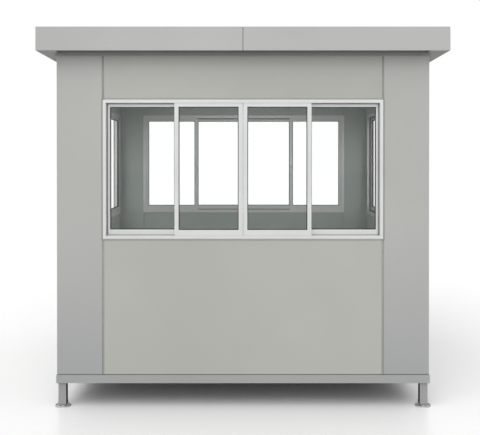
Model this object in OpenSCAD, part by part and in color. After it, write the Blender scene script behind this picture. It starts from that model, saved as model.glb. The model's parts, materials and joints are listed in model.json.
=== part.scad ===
// Security guard booth of sandwich panels on a steel base frame.
// Origin on the ground under the middle of the cabin, front towards -Y, +Z up.

/* [Cabin] */
// Outside width of the walls, left to right
cabin_w = 2400; // [1800:50:3000]
// Outside depth of the walls, front to back
cabin_d = 2400; // [1900:10:3000]
// Visible height of the walls, from the base frame to the top beam
wall_h = 2057; // [1990:1:2400]
// Thickness of the wall panels
wall_t = 50; // [44:2:70]
// Width of the corner panels along the front wall, beside the window
front_corner_w = 298; // [200:1:500]
// Width of the corner panels along the back wall
back_corner_w = 264; // [200:1:500]
// Width of the corner panels along the side walls, at the front
side_front_w = 150; // [120:5:300]
// Width of the corner panels along the side walls, at the back
side_back_w = 150; // [120:5:300]
// Width of the groove that shows at each panel joint
joint_w = 14; // [6:1:18]
// Height of the groove that shows where the panels stand on the base frame
base_joint_h = 6; // [3:1:12]
// Depth of that groove
joint_depth = 4; // [2:1:6]
// Thickness of the tongue that joins two panels
tongue_t = 16; // [10:1:20]
// Length of the tongue
tongue_l = 10; // [6:1:16]

/* [Feet and base frame] */
// Diameter of a foot plate
foot_d = 102; // [80:1:140]
// Thickness of a foot plate inside its raised rim
foot_t = 4; // [3:1:8]
// Height of that rim
foot_rim_h = 8; // [5:1:12]
// Width of that rim
foot_rim_w = 8; // [5:1:12]
// Height of the legs' lower ends above the ground
leg_foot_h = 27; // [22:1:45]
// Diameter of the levelling screw between a leg and its foot plate
screw_d = 20; // [16:2:30]
// Width across the flats of the screw's lock nut
nut_w = 30; // [24:1:40]
// Height of that nut
nut_h = 9; // [6:1:14]
// Outside size of a square leg tube
leg_w = 50; // [40:5:70]
// Wall of a leg tube
leg_wall = 3; // [2:0.5:5]
// Height of the base frame's underside above the ground
leg_h = 156; // [100:1:300]
// How far a leg is set in from the base frame's edges
leg_inset = 12; // [5:1:30]
// Height of the base channel
base_h = 52; // [40:1:80]
// How far the base channel stands proud of the walls
base_proud = 5; // [0:1:10]
// Width of the base channel's flanges
base_flange = 70; // [65:5:90]
// Steel thickness of the base channel
base_t = 4; // [3:0.5:6]
// Width of a floor joist
joist_w = 40; // [30:5:60]
// Number of floor joists
joist_count = 5; // [3:1:7]
// Wall of a floor joist tube
joist_wall = 3; // [2:0.5:4]
// Thickness of the floor panel
floor_t = 18; // [12:1:25]

/* [Windows] */
// Height of the windows
window_h = 895; // [700:5:950]
// Height of the panels below the windows
sill_h = 880; // [800:1:950]
// Depth of a window frame from outside to inside
window_depth = 60; // [56:1:90]
// Thickness of a window frame's lips and ribs
frame_t = 2.5; // [2:0.5:4]
// Face width of the frame's outer and inner lips
frame_lip = 19; // [14:1:30]
// Height of the rib between the two tracks
track_rib = 22; // [15:1:32]
// How far the cover trim laps over the wall inside
trim_lap = 8; // [4:1:15]
// Thickness of a sliding sash
sash_t = 22; // [18:1:24]
// Face width of a sash stile
stile_w = 27; // [22:1:40]
// Face width of the stile that slides into the frame's jamb
jamb_stile_w = 35; // [30:1:45]
// Height of a sash's bottom rail
bottom_rail_h = 54; // [44:1:70]
// Height of a sash's top rail
top_rail_h = 39; // [34:1:60]
// How far the middle sashes fall short of a quarter of their window
sash_short = 9; // [5:1:15]
// Clearance above the sashes, at their ends and where they meet
sash_clear = 3; // [2:0.5:5]
// Thickness of the blade round a sash, which runs in the frame
blade_t = 12; // [8:1:16]
// Width of the shadow gap between the frame and the sashes of its inner track
shadow_gap = 6; // [3:1:8]
// Width of the step round the glass on a sash's outer face
bead_w = 3; // [1:0.5:5]
// Depth of that step
bead_d = 2; // [1:0.5:3]
// Thickness of the hooks that two meeting stiles hold each other by
hook_t = 2; // [1.5:0.5:2.5]
// How far those hooks stand off their sashes
hook_reach = 4; // [3:0.5:4.5]
// Height of a sash's finger pull
pull_h = 90; // [60:5:140]
// Width of that pull
pull_w = 12; // [8:1:14]
// Depth of that pull
pull_d = 3; // [2:0.5:4]
// Thickness of the window glass
glass_t = 5; // [4:1:6]
// Depth of the glazing groove in the sashes
glass_bite = 9; // [6:1:12]
// Visible width of the rubber gasket round the glass
gasket_w = 5; // [3:1:8]
// Thickness of that gasket on each face of the glass
gasket_t = 5; // [2:0.5:6]

/* [Door] */
// Width of the doorway
door_w = 900; // [800:10:900]
// Height of the panel between the doorway and the top beam
door_head_h = 103; // [50:1:200]
// Face width of the door frame
door_frame_w = 40; // [30:1:60]
// Gap between the door leaf and its frame
door_gap = 4; // [3:0.5:6]
// Thickness of the door leaf
leaf_t = 40; // [35:1:46]
// Face width of the leaf's stiles and top rail
leaf_stile = 75; // [60:5:100]
// Height of the leaf's bottom rail
leaf_kick = 140; // [100:5:200]
// Height of the middle of the lock rail above the leaf's lower edge
lock_rail_z = 930; // [850:10:1100]
// Height of the lock rail
lock_rail_h = 110; // [80:5:150]
// Thickness of the leaf's lower panel
leaf_panel_t = 24; // [18:1:30]
// Height of the handle above the middle of the lock rail
handle_rise = 26; // [0:2:40]
// Width of the stop that the leaf closes against
door_stop_w = 14; // [10:1:20]
// Thickness of the door stop
door_stop_t = 10; // [6:1:15]
// Height of a hinge
hinge_h = 100; // [80:5:140]
// Diameter of a hinge barrel
hinge_d = 14; // [10:1:20]
// Number of hinges
hinge_count = 3; // [2:1:4]

/* [Roof] */
// Overhang of the fascia beyond the walls
roof_over = 108; // [80:1:200]
// Height of the fascia
fascia_h = 150; // [130:5:250]
// Thickness of the fascia sheet
fascia_t = 3; // [2:0.5:5]
// Width of the hem along the fascia's lower edge
fascia_hem = 15; // [10:1:30]
// How far the side soffits reach in before the front and back beams
soffit_tab = 22; // [0:2:60]
// Gap between the two halves of the front fascia
fascia_seam = 6; // [1:0.5:8]
// Width of the plate behind that gap
seam_plate_w = 60; // [40:5:100]
// Width of the fascia's lip over the roof panels
fascia_lip = 40; // [30:5:60]
// Height of the front fascia's lower edge above the walls' visible top
fascia_rise = 23; // [0:1:60]
// How far the soffit lies above the fascia's lower edge
soffit_recess = 87; // [60:1:90]
// Fall of the roof towards the back, in percent
roof_fall = 2; // [0:0.25:2.5]
// How far the top beam stands proud of the walls
beam_proud = 6; // [3:1:10]
// How far the wall panels reach up into the top beam
beam_seat = 25; // [15:1:30]
// Width of the cover strip over the roof's middle joint
seam_cap_w = 60; // [40:5:100]

/* [Hidden] */
$fn = 48;
eps = 1;
slip = 1;
far = 6000;
half_w = cabin_w / 2;
half_d = cabin_d / 2;
base_top = leg_h + base_h;
wall_top = base_top + wall_h;
panel_top = wall_top + beam_seat;
base_half_w = half_w + base_proud;
base_half_d = half_d + base_proud;
beam_half_w = half_w + beam_proud;
beam_half_d = half_d + beam_proud;
beam_w = wall_t + 2 * beam_proud;
window_z = base_top + sill_h;
head_z = window_z + window_h;
track_w = (window_depth - 3 * frame_t) / 2;
sash_h = window_h - 2 * frame_t - sash_clear;
inner_track_y = frame_t / 2 + track_w / 2;
outer_track_y = -inner_track_y;
joist_len = 2 * (base_half_w - base_flange);
front_window_w = cabin_w - 2 * front_corner_w;
back_window_w = cabin_w - 2 * back_corner_w;
door_front_y = -half_d + side_front_w;
door_back_y = door_front_y + door_w;
door_mid_y = door_front_y + door_w / 2;
window_back_y = half_d - side_back_w;
side_window_w = window_back_y - door_back_y;
side_window_y = (window_back_y + door_back_y) / 2;
door_h = wall_h - door_head_h;
door_top_z = base_top + door_h;
leaf_w = door_w - 2 * door_frame_w - 2 * door_gap;
leaf_h = door_h - 2 * door_frame_w - 2 * door_gap;
leaf_y = wall_t / 2 - door_stop_t - leaf_t / 2;
leaf_back = window_depth / 2 + leaf_y - leaf_t / 2;
handle_plate_w = 38;
handle_plate_t = 8;
handle_plate_h = 220;
handle_above = 65;
handle_bar_d = 18;
handle_bar_l = 125;
handle_reach = 55;
handle_return = 22;
lock_d = 20;
lock_drop = 80;
lock_t = 4;
hinge_end = 180;
hinge_plate_w = 32;
hinge_plate_t = 3;
hinge_pin_d = hinge_d - 2 * hinge_plate_t - slip;
knuckle_gap = 1.5;
knuckles = 3;
foot_hub_d = 34;
foot_hub_h = 10;
foot_edge = 2;
leg_cap_t = 5;
leg_x = base_half_w - leg_inset - leg_w / 2;
leg_y = base_half_d - leg_inset - leg_w / 2;
side_soffit_w = roof_over - beam_proud - slip;
roof_angle = atan(roof_fall / 100);
roof_half_w = half_w + roof_over;
roof_half_d = half_d + roof_over;
roof_mid_z = wall_top + fascia_rise + fascia_h / 2 * cos(roof_angle) - roof_half_d * sin(roof_angle);
soffit_z = soffit_recess - fascia_h / 2;
roof_top_z = fascia_h / 2 - fascia_t;
roof_t = roof_top_z - soffit_z;
panel_half_w = roof_half_w - fascia_t;
panel_half_d = roof_half_d - fascia_t;

// A box between two corners
module span(low, high) {
  translate(low) cube(high - low);
}

// An upright flat shape with round ends
module round_ended(w, h) {
  square([w, h - w], center = true);
  for (end = [-1, 1])
    translate([0, end * (h - w) / 2]) circle(d = w);
}

// Copies at the four corners of the cabin
module each_corner(x, y) {
  for (sx = [-1, 1])
    for (sy = [-1, 1])
      translate([sx * x, sy * y, 0]) children();
}

// A section run along the front edge of a ring, with mitred ends; depth is the section's own
module mitred_run(half_len, reach, depth) {
  intersection() {
    translate([-half_len, -reach, 0]) rotate([90, 0, 90]) linear_extrude(2 * half_len) children();
    linear_extrude(far, center = true)
      polygon([[-half_len, -reach], [half_len, -reach],
               [half_len - depth, -reach + depth], [-half_len + depth, -reach + depth]]);
  }
}

// Walls, drawn with their outside towards -Y and turned to their side of the cabin
module on_front() { translate([0, -half_d + wall_t / 2, 0]) children(); }
module on_back() { translate([0, half_d - wall_t / 2, 0]) rotate(180) children(); }
module on_left() { translate([-half_w + wall_t / 2, 0, 0]) rotate(-90) children(); }
module on_right() { translate([half_w - wall_t / 2, 0, 0]) rotate(90) children(); }

/* Feet, legs and base frame */

// A levelling foot: a dished plate with a rim and a hub, its screw, and the lock nut under the leg
module foot_plates() {
  color("#8d8f8e")
    each_corner(leg_x, leg_y) {
      rotate_extrude()
        polygon([
          [0, 0], [foot_d / 2, 0], [foot_d / 2, foot_rim_h - foot_edge],
          [foot_d / 2 - foot_edge, foot_rim_h], [foot_d / 2 - foot_rim_w + foot_edge, foot_rim_h],
          [foot_d / 2 - foot_rim_w, foot_t], [foot_hub_d / 2 + foot_edge, foot_t],
          [foot_hub_d / 2, foot_hub_h], [0, foot_hub_h]
        ]);
      cylinder(d = screw_d, h = leg_foot_h);
      translate([0, 0, leg_foot_h - nut_h]) cylinder(d = nut_w / cos(30), h = nut_h, $fn = 6);
    }
}

// A leg tube, closed below by the plate that its screw runs in
module legs() {
  color("#8a8c8a")
    each_corner(leg_x, leg_y)
      translate([0, 0, leg_foot_h])
        difference() {
          linear_extrude(leg_h - leg_foot_h) square(leg_w, center = true);
          translate([0, 0, leg_cap_t])
            linear_extrude(leg_h) square(leg_w - 2 * leg_wall, center = true);
        }
}

// Channel section with its web outside
module base_section() {
  difference() {
    square([base_flange, base_h]);
    translate([base_t, base_t]) square([base_flange, base_h - 2 * base_t]);
  }
}

module base_channels_front_back() {
  color("#9da09e")
    for (turn = [0, 180])
      translate([0, 0, leg_h]) rotate(turn) mitred_run(base_half_w, base_half_d, base_flange) base_section();
}

module base_channels_sides() {
  color("#9da09e")
    for (turn = [90, 270])
      translate([0, 0, leg_h]) rotate(turn) mitred_run(base_half_d, base_half_w, base_flange) base_section();
}

module floor_joists() {
  bay = 2 * (base_half_d - base_flange) / (joist_count + 1);
  color("#7f8280")
    for (i = [1:joist_count])
      translate([-joist_len / 2, -base_half_d + base_flange + i * bay, leg_h + base_h / 2])
        rotate([90, 0, 90])
          linear_extrude(joist_len)
            difference() {
              square([joist_w, base_h], center = true);
              square([joist_w - 2 * joist_wall, base_h - 2 * joist_wall], center = true);
            }
}

module floor_panel() {
  color("#6f7370")
    span([-half_w + wall_t, -half_d + wall_t, base_top],
         [half_w - wall_t, half_d - wall_t, base_top + floor_t]);
}

/* Wall panels */

// The shallow rebate along a vertical joint, on both faces
module joint_rebate(x, z_low, z_high) {
  for (side = [-1, 1])
    translate([x - joint_w / 2, side * wall_t / 2 - joint_depth, z_low - eps])
      cube([joint_w, 2 * joint_depth, z_high - z_low + 2 * eps]);
}

// The same rebate along the joint with the base frame; inside it stops short where two walls meet
module base_rebate(x_low, x_high, short_low = 0, short_high = 0) {
  for (face = [[-wall_t / 2, 0], [wall_t / 2, 1]])
    span([x_low - eps + face[1] * short_low, face[0] - joint_depth, base_top - eps],
         [x_high + eps - face[1] * short_high, face[0] + joint_depth, base_top + base_joint_h]);
}

// The slot that takes a neighbour's tongue, with its mouth at x and its depth towards dir
module tongue_slot(x, dir) {
  translate([dir > 0 ? x - eps : x - tongue_l, -tongue_t / 2, base_top - eps])
    cube([tongue_l + eps, tongue_t, panel_top - base_top + 2 * eps]);
}

// A flat panel between two joints; an end is a "tongue", a "slot" or "plain"
module flat_panel(x_low, x_high, z_low, z_high, low_end = "tongue", high_end = "tongue") {
  color("#b3b5ae")
    difference() {
      union() {
        span([x_low, -wall_t / 2, z_low], [x_high, wall_t / 2, z_high]);
        if (low_end == "tongue")
          span([x_low - tongue_l, -tongue_t / 2, z_low], [x_low, tongue_t / 2, z_high]);
        if (high_end == "tongue")
          span([x_high, -tongue_t / 2, z_low], [x_high + tongue_l, tongue_t / 2, z_high]);
      }
      if (low_end != "plain") joint_rebate(x_low, z_low, z_high);
      if (high_end != "plain") joint_rebate(x_high, z_low, z_high);
      if (low_end == "slot") tongue_slot(x_low, 1);
      if (high_end == "slot") tongue_slot(x_high, -1);
      base_rebate(x_low, x_high);
    }
}

// A corner panel: one leg along the front or back wall and one along the side wall
module corner_panel(end_x, end_y) {
  color("#a9aba9")
    difference() {
      union() {
        span([-half_w, -half_d, base_top], [-end_x, -half_d + wall_t, panel_top]);
        span([-half_w, -half_d, base_top], [-half_w + wall_t, -end_y, panel_top]);
      }
      on_front() {
        joint_rebate(-end_x, base_top, panel_top);
        tongue_slot(-end_x, -1);
        base_rebate(-half_w, -end_x, short_low = wall_t);
      }
      on_left() {
        joint_rebate(end_y, base_top, panel_top);
        tongue_slot(end_y, 1);
        base_rebate(end_y, half_d, short_high = wall_t);
      }
    }
}

module corner_front_left() { corner_panel(front_window_w / 2, -door_front_y); }
module corner_front_right() { mirror([1, 0, 0]) corner_panel(front_window_w / 2, -door_front_y); }
module corner_back_left() { mirror([0, 1, 0]) corner_panel(back_window_w / 2, window_back_y); }
module corner_back_right() { rotate(180) corner_panel(back_window_w / 2, window_back_y); }

module front_sill_panel() {
  on_front() flat_panel(-front_window_w / 2, front_window_w / 2, base_top, window_z);
}
module front_head_panel() {
  on_front() flat_panel(-front_window_w / 2, front_window_w / 2, head_z, panel_top);
}
module back_sill_panel() {
  on_back() flat_panel(-back_window_w / 2, back_window_w / 2, base_top, window_z);
}
module back_head_panel() {
  on_back() flat_panel(-back_window_w / 2, back_window_w / 2, head_z, panel_top);
}

// On the left wall x runs towards the front of the cabin, on the right wall towards its back
module left_sill_panel() {
  on_left() flat_panel(-window_back_y, -door_back_y, base_top, window_z);
}
module left_head_panel() {
  on_left() flat_panel(-window_back_y, -door_back_y, head_z, panel_top);
}
module left_plain_panel() {
  on_left() flat_panel(-door_back_y, -door_front_y, base_top, panel_top, low_end = "slot");
}
module right_sill_panel() {
  on_right() flat_panel(door_back_y, window_back_y, base_top, window_z, low_end = "plain");
}
module right_head_panel() {
  on_right() flat_panel(door_back_y, window_back_y, head_z, panel_top, low_end = "slot");
}
module door_head_panel() {
  on_right() flat_panel(door_front_y, door_back_y, door_top_z, panel_top);
}

/* Top beams and roof */

module on_roof() {
  translate([0, 0, roof_mid_z]) rotate([-roof_angle, 0, 0]) children();
}

// The ring of top beams, open below where the wall panels seat, cut off along the roof's underside
module beam_ring() {
  difference() {
    span([-beam_half_w, -beam_half_d, wall_top], [beam_half_w, beam_half_d, wall_top + 2 * fascia_h]);
    span([-beam_half_w + beam_w, -beam_half_d + beam_w, wall_top - eps],
         [beam_half_w - beam_w, beam_half_d - beam_w, far]);
    difference() {
      span([-half_w, -half_d, wall_top - eps], [half_w, half_d, panel_top]);
      span([-half_w + wall_t, -half_d + wall_t, wall_top - 2 * eps],
           [half_w - wall_t, half_d - wall_t, panel_top + eps]);
    }
    on_roof() span([-far, -far, soffit_z], [far, far, far]);
  }
}

// The stretch of the cabin between the front and back beams
module between_beams() {
  span([-far, -beam_half_d + beam_w, 0], [far, beam_half_d - beam_w, far]);
}

module top_beams_front_back() {
  color("#9a9c9a")
    difference() {
      beam_ring();
      between_beams();
    }
}

module top_beams_sides() {
  color("#9a9c9a")
    intersection() {
      beam_ring();
      between_beams();
    }
}

// The tongue that joins the roof's two halves, drawn level
module roof_tongue() {
  span([-eps, -panel_half_d, soffit_z + roof_t / 2 - tongue_t / 2],
       [tongue_l, panel_half_d, soffit_z + roof_t / 2 + tongue_t / 2]);
}

// The left half carries the tongue and the cover strip over the joint
module roof_panel_left() {
  color("#a3a6a4")
    on_roof() {
      span([-panel_half_w, -panel_half_d, soffit_z], [0, panel_half_d, roof_top_z]);
      roof_tongue();
      span([-seam_cap_w / 2, -roof_half_d + fascia_lip, roof_top_z],
           [seam_cap_w / 2, roof_half_d - fascia_lip, roof_top_z + fascia_t]);
    }
}

module roof_panel_right() {
  color("#a3a6a4")
    on_roof()
      difference() {
        span([0, -panel_half_d, soffit_z], [panel_half_w, panel_half_d, roof_top_z]);
        roof_tongue();
      }
}

// Fascia sheet: lower hem, upright face and the lip over the roof
module fascia_section() {
  polygon([
    [0, -fascia_h / 2], [fascia_hem, -fascia_h / 2], [fascia_hem, -fascia_h / 2 + fascia_t],
    [fascia_t, -fascia_h / 2 + fascia_t], [fascia_t, roof_top_z],
    [fascia_lip, roof_top_z], [fascia_lip, fascia_h / 2], [0, fascia_h / 2]
  ]);
}

module fascia_side(turn, half_len, reach) {
  color("#bcbcc0")
    on_roof() rotate(turn) mitred_run(half_len, reach, fascia_lip) fascia_section();
}

// Side fascias run on below as a closed soffit, from their foot to the top beam and round its corners
module side_soffit(turn) {
  inner = -roof_half_w + side_soffit_w;
  end = roof_half_d - fascia_hem;
  corner = beam_half_d + slip;
  color("#bcbcc0")
    on_roof() rotate(turn)
      translate([0, 0, -fascia_h / 2])
        linear_extrude(fascia_t)
          polygon([
            [-roof_half_d, -roof_half_w], [roof_half_d, -roof_half_w],
            [end, -roof_half_w + fascia_hem], [end, inner + soffit_tab],
            [corner, inner + soffit_tab], [corner, inner],
            [-corner, inner], [-corner, inner + soffit_tab],
            [-end, inner + soffit_tab], [-end, -roof_half_w + fascia_hem]
          ]);
}

module fascia_front_left() {
  intersection() {
    fascia_side(0, roof_half_w, roof_half_d);
    span([-far, -far, 0], [-fascia_seam / 2, far, far]);
  }
  color("#bcbcc0")
    on_roof()
      span([-seam_plate_w / 2, -roof_half_d + fascia_t, -fascia_h / 2 + fascia_t],
           [seam_plate_w / 2, -roof_half_d + 2 * fascia_t, soffit_z]);
}
module fascia_front_right() {
  intersection() {
    fascia_side(0, roof_half_w, roof_half_d);
    span([fascia_seam / 2, -far, 0], [far, far, far]);
  }
}
module fascia_back() { fascia_side(180, roof_half_w, roof_half_d); }
module fascia_left() {
  fascia_side(-90, roof_half_d, roof_half_w);
  side_soffit(-90);
}
module fascia_right() {
  fascia_side(90, roof_half_d, roof_half_w);
  side_soffit(90);
}

/* Windows, drawn with their middle at x = 0, their outside towards -Y and their foot at z = 0 */

// The frame: two tracks between three lips, and a cover trim inside the cabin
module window_frame(w) {
  color("#d6d8d6")
    difference() {
      union() {
        span([-w / 2, -window_depth / 2, 0], [w / 2, window_depth / 2, window_h]);
        span([-w / 2 - trim_lap, wall_t / 2, -trim_lap],
             [w / 2 + trim_lap, window_depth / 2, window_h + trim_lap]);
      }
      span([-w / 2 + track_rib, -window_depth, track_rib],
           [w / 2 - track_rib, window_depth, window_h - track_rib]);
      for (face = [[-window_depth, -frame_t / 2], [frame_t / 2, window_depth]])
        span([-w / 2 + frame_lip, face[0], frame_lip], [w / 2 - frame_lip, face[1], window_h - frame_lip]);
      for (y = [outer_track_y, inner_track_y])
        span([-w / 2 + frame_t, y - track_w / 2, frame_t],
             [w / 2 - frame_t, y + track_w / 2, window_h - frame_t]);
    }
}

// A sash is [low end, high end, track, its low stile, its high stile, the end with its finger pull].
// A stile slides into the "jamb", holds its neighbour by a "hook", or ends in a "butt" against it.
function middle_edge(w) = w / 4 - sash_short;
function jamb_edge(w) = w / 2 - frame_t - sash_clear;
function middle_sashes(w) = [
  [-middle_edge(w), -sash_clear / 2, outer_track_y, "hook", "butt", 1],
  [sash_clear / 2, middle_edge(w), outer_track_y, "butt", "hook", -1]
];
function end_sashes(w) = [
  [-jamb_edge(w), -middle_edge(w) + stile_w, inner_track_y, "jamb", "hook", 1],
  [middle_edge(w) - stile_w, jamb_edge(w), inner_track_y, "hook", "jamb", -1]
];
function pair_of_sashes(w) = [
  [-jamb_edge(w), stile_w / 2, inner_track_y, "jamb", "hook", -1],
  [-stile_w / 2, jamb_edge(w), outer_track_y, "hook", "jamb", 1]
];
function face_w(stile) = stile == "jamb" ? jamb_stile_w : stile_w;

// How far a sash's blade reaches in from its edge, at the top and at a jamb
function blade(s) = (s[2] < 0 ? frame_lip : track_rib + shadow_gap) - frame_t - sash_clear;
function jamb_blade(s, stile) = stile == "jamb" ? blade(s) : 0;

// The opening in a sash, grown on all four sides, between two depths
module sash_light(s, grow, y_low, y_high) {
  translate([0, s[2], frame_t])
    span([s[0] + face_w(s[3]) - grow, y_low, bottom_rail_h - grow],
         [s[1] - face_w(s[4]) + grow, y_high, sash_h - top_rail_h + grow]);
}

// The bars of a sash before its opening is cut: a thin blade all round and the full section inside it
module sash_bars(s) {
  translate([0, s[2], frame_t]) {
    span([s[0], -blade_t / 2, 0], [s[1], blade_t / 2, sash_h]);
    span([s[0] + jamb_blade(s, s[3]), -sash_t / 2, frame_lip - frame_t],
         [s[1] - jamb_blade(s, s[4]), sash_t / 2, sash_h - blade(s)]);
  }
}

// The hook on a meeting stile, towards the other track; dir points to the stile's free edge
module stile_hook(s, x, dir) {
  out = s[2] < 0 ? 1 : -1;
  near = x + dir * slip;
  away = x + dir * (slip + hook_t);
  tip = out * (sash_t / 2 + hook_reach);
  translate([0, s[2], 0])
    span([min(near, away), min(0, tip), track_rib + slip],
         [max(near, away), max(0, tip), window_h - track_rib - slip]);
}

// The finger pull, sunk into the inner face at half height
module finger_pull(s) {
  low_x = s[0] + (jamb_blade(s, s[3]) + face_w(s[3])) / 2;
  high_x = s[1] - (jamb_blade(s, s[4]) + face_w(s[4])) / 2;
  translate([s[5] < 0 ? low_x : high_x, s[2] + sash_t / 2 - pull_d, window_h / 2])
    rotate([-90, 0, 0]) linear_extrude(sash_t) round_ended(pull_w, pull_h);
}

module sashes(list) {
  color("#d9dbda")
    for (s = list)
      difference() {
        union() {
          sash_bars(s);
          if (s[3] == "hook") stile_hook(s, s[0] + stile_w / 2, -1);
          if (s[4] == "hook") stile_hook(s, s[1] - stile_w / 2, 1);
        }
        sash_light(s, 0, -sash_t / 2 - eps, sash_t / 2 + eps);
        sash_light(s, bead_w, -sash_t, -sash_t / 2 + bead_d);
        sash_light(s, glass_bite, -glass_t / 2, glass_t / 2);
        finger_pull(s);
      }
}

module panes(list) {
  color("#7f9290", 0.35)
    for (s = list)
      sash_light(s, glass_bite, -glass_t / 2, glass_t / 2);
}

// Rubber gaskets in the opening, on both faces of the glass
module gaskets(list) {
  for (s = list)
    for (face = [-1, 1])
      difference() {
        sash_light(s, 0, min(face * glass_t / 2, face * (glass_t / 2 + gasket_t)),
                   max(face * glass_t / 2, face * (glass_t / 2 + gasket_t)));
        sash_light(s, -gasket_w, -sash_t, sash_t);
      }
}

module at_front_window() { on_front() translate([0, 0, window_z]) children(); }
module at_back_window() { on_back() translate([0, 0, window_z]) children(); }
module at_left_window() { on_left() translate([-side_window_y, 0, window_z]) children(); }
module at_right_window() { on_right() translate([side_window_y, 0, window_z]) children(); }

module front_window_frame() { at_front_window() window_frame(front_window_w); }
module front_window_outer_sashes() { at_front_window() sashes(middle_sashes(front_window_w)); }
module front_window_inner_sashes() { at_front_window() sashes(end_sashes(front_window_w)); }
module front_window_glass() {
  at_front_window() panes(concat(middle_sashes(front_window_w), end_sashes(front_window_w)));
}
module back_window_frame() { at_back_window() window_frame(back_window_w); }
module back_window_outer_sashes() { at_back_window() sashes(middle_sashes(back_window_w)); }
module back_window_inner_sashes() { at_back_window() sashes(end_sashes(back_window_w)); }
module back_window_glass() {
  at_back_window() panes(concat(middle_sashes(back_window_w), end_sashes(back_window_w)));
}
module left_window_frame() { at_left_window() window_frame(side_window_w); }
module left_window_sashes() { at_left_window() sashes(pair_of_sashes(side_window_w)); }
module left_window_glass() { at_left_window() panes(pair_of_sashes(side_window_w)); }
module right_window_frame() { at_right_window() window_frame(side_window_w); }
module right_window_sashes() { at_right_window() sashes(pair_of_sashes(side_window_w)); }
module right_window_glass() { at_right_window() panes(pair_of_sashes(side_window_w)); }

module glazing_gaskets() {
  color("#2b2d2c") {
    at_front_window() gaskets(concat(middle_sashes(front_window_w), end_sashes(front_window_w)));
    at_back_window() gaskets(concat(middle_sashes(back_window_w), end_sashes(back_window_w)));
    at_left_window() gaskets(pair_of_sashes(side_window_w));
    at_right_window() gaskets(pair_of_sashes(side_window_w));
    at_door()
      for (face = [-1, 1])
        difference() {
          door_light(0, min(face * glass_t / 2, face * (glass_t / 2 + gasket_t)),
                     max(face * glass_t / 2, face * (glass_t / 2 + gasket_t)));
          door_light(-gasket_w, -leaf_t, leaf_t);
        }
  }
}

/* Door, drawn like the windows, with the leaf's middle plane at y = 0 */

module at_door() {
  on_right() translate([door_mid_y, leaf_y, base_top + door_frame_w + door_gap]) children();
}

module door_frame() {
  color("#d6d8d6")
    on_right() translate([door_mid_y, 0, base_top])
      difference() {
        span([-door_w / 2, -window_depth / 2, 0], [door_w / 2, wall_t / 2, door_h]);
        span([-door_w / 2 + door_frame_w, -window_depth, door_frame_w],
             [door_w / 2 - door_frame_w, wall_t / 2 - door_stop_t, door_h - door_frame_w]);
        span([-door_w / 2 + door_frame_w + door_stop_w, -window_depth, door_frame_w + door_stop_w],
             [door_w / 2 - door_frame_w - door_stop_w, window_depth, door_h - door_frame_w - door_stop_w]);
      }
}

// The leaf's upper and lower openings, grown on all four sides, between two depths
module door_light(grow, y_low, y_high) {
  span([-leaf_w / 2 + leaf_stile - grow, y_low, lock_rail_z + lock_rail_h / 2 - grow],
       [leaf_w / 2 - leaf_stile + grow, y_high, leaf_h - leaf_stile + grow]);
}
module door_lower(grow, y_low, y_high) {
  span([-leaf_w / 2 + leaf_stile - grow, y_low, leaf_kick - grow],
       [leaf_w / 2 - leaf_stile + grow, y_high, lock_rail_z - lock_rail_h / 2 + grow]);
}

module door_leaf() {
  color("#d9dbda")
    at_door()
      difference() {
        span([-leaf_w / 2, -leaf_t / 2, 0], [leaf_w / 2, leaf_t / 2, leaf_h]);
        door_light(0, -leaf_t, leaf_t);
        door_light(glass_bite, -glass_t / 2, glass_t / 2);
        door_lower(0, -leaf_t, leaf_t);
        door_lower(glass_bite, -leaf_panel_t / 2, leaf_panel_t / 2);
      }
}
module door_panel() {
  color("#b3b5ae") at_door() door_lower(glass_bite, -leaf_panel_t / 2, leaf_panel_t / 2);
}
module door_glass() {
  color("#7f9290", 0.35) at_door() door_light(glass_bite, -glass_t / 2, glass_t / 2);
}

// A round-ended plate that stands off the leaf
module handle_plate() {
  translate([0, 0, handle_above - handle_plate_h / 2])
    rotate([90, 0, 0]) linear_extrude(handle_plate_t) round_ended(handle_plate_w, handle_plate_h);
}

// The lever: a neck, a bar towards the hinges and a short return to the leaf
module handle_lever() {
  bar_y = -handle_reach + handle_bar_d / 2;
  rotate([90, 0, 0]) cylinder(d = handle_bar_d, h = handle_reach);
  translate([0, bar_y, 0]) rotate([0, -90, 0]) cylinder(d = handle_bar_d, h = handle_bar_l);
  translate([-handle_bar_l + handle_bar_d / 2, bar_y - handle_bar_d / 2, 0])
    rotate([-90, 0, 0]) cylinder(d = handle_bar_d, h = handle_return + handle_bar_d / 2);
}

// Lever handle with a plate and a lock on both faces of the leaf
module door_handle() {
  color("#c2c4c4")
    at_door()
      translate([leaf_w / 2 - leaf_stile / 2, 0, lock_rail_z + handle_rise])
        for (face = [0, 1])
          mirror([0, face, 0])
            translate([0, -leaf_t / 2, 0]) {
              handle_plate();
              handle_lever();
              translate([0, 0, -lock_drop])
                rotate([90, 0, 0]) cylinder(d = lock_d, h = handle_plate_t + lock_t);
            }
}

// A hinge barrel: knuckles on a pin
module hinge_barrel() {
  knuckle_h = (hinge_h - (knuckles - 1) * knuckle_gap) / knuckles;
  cylinder(d = hinge_pin_d, h = hinge_h);
  for (i = [0:knuckles - 1])
    translate([0, 0, i * (knuckle_h + knuckle_gap)]) cylinder(d = hinge_d, h = knuckle_h);
}

module door_hinges() {
  color("#c2c4c4")
    at_door()
      for (i = [0:hinge_count - 1])
        translate([-leaf_w / 2 - door_gap / 2, -leaf_t / 2, 0])
          translate([0, 0, hinge_end + i * (leaf_h - 2 * hinge_end - hinge_h) / (hinge_count - 1)]) {
            translate([0, -hinge_d / 2 - leaf_back, 0]) hinge_barrel();
            span([-hinge_plate_w, -leaf_back - hinge_plate_t, 0], [0, -leaf_back, hinge_h]);
            span([0, -hinge_plate_t, 0], [hinge_plate_w, 0, hinge_h]);
            span([-hinge_plate_t / 2, -leaf_back - hinge_plate_t, 0], [hinge_plate_t / 2, 0, hinge_h]);
          }
}

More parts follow.
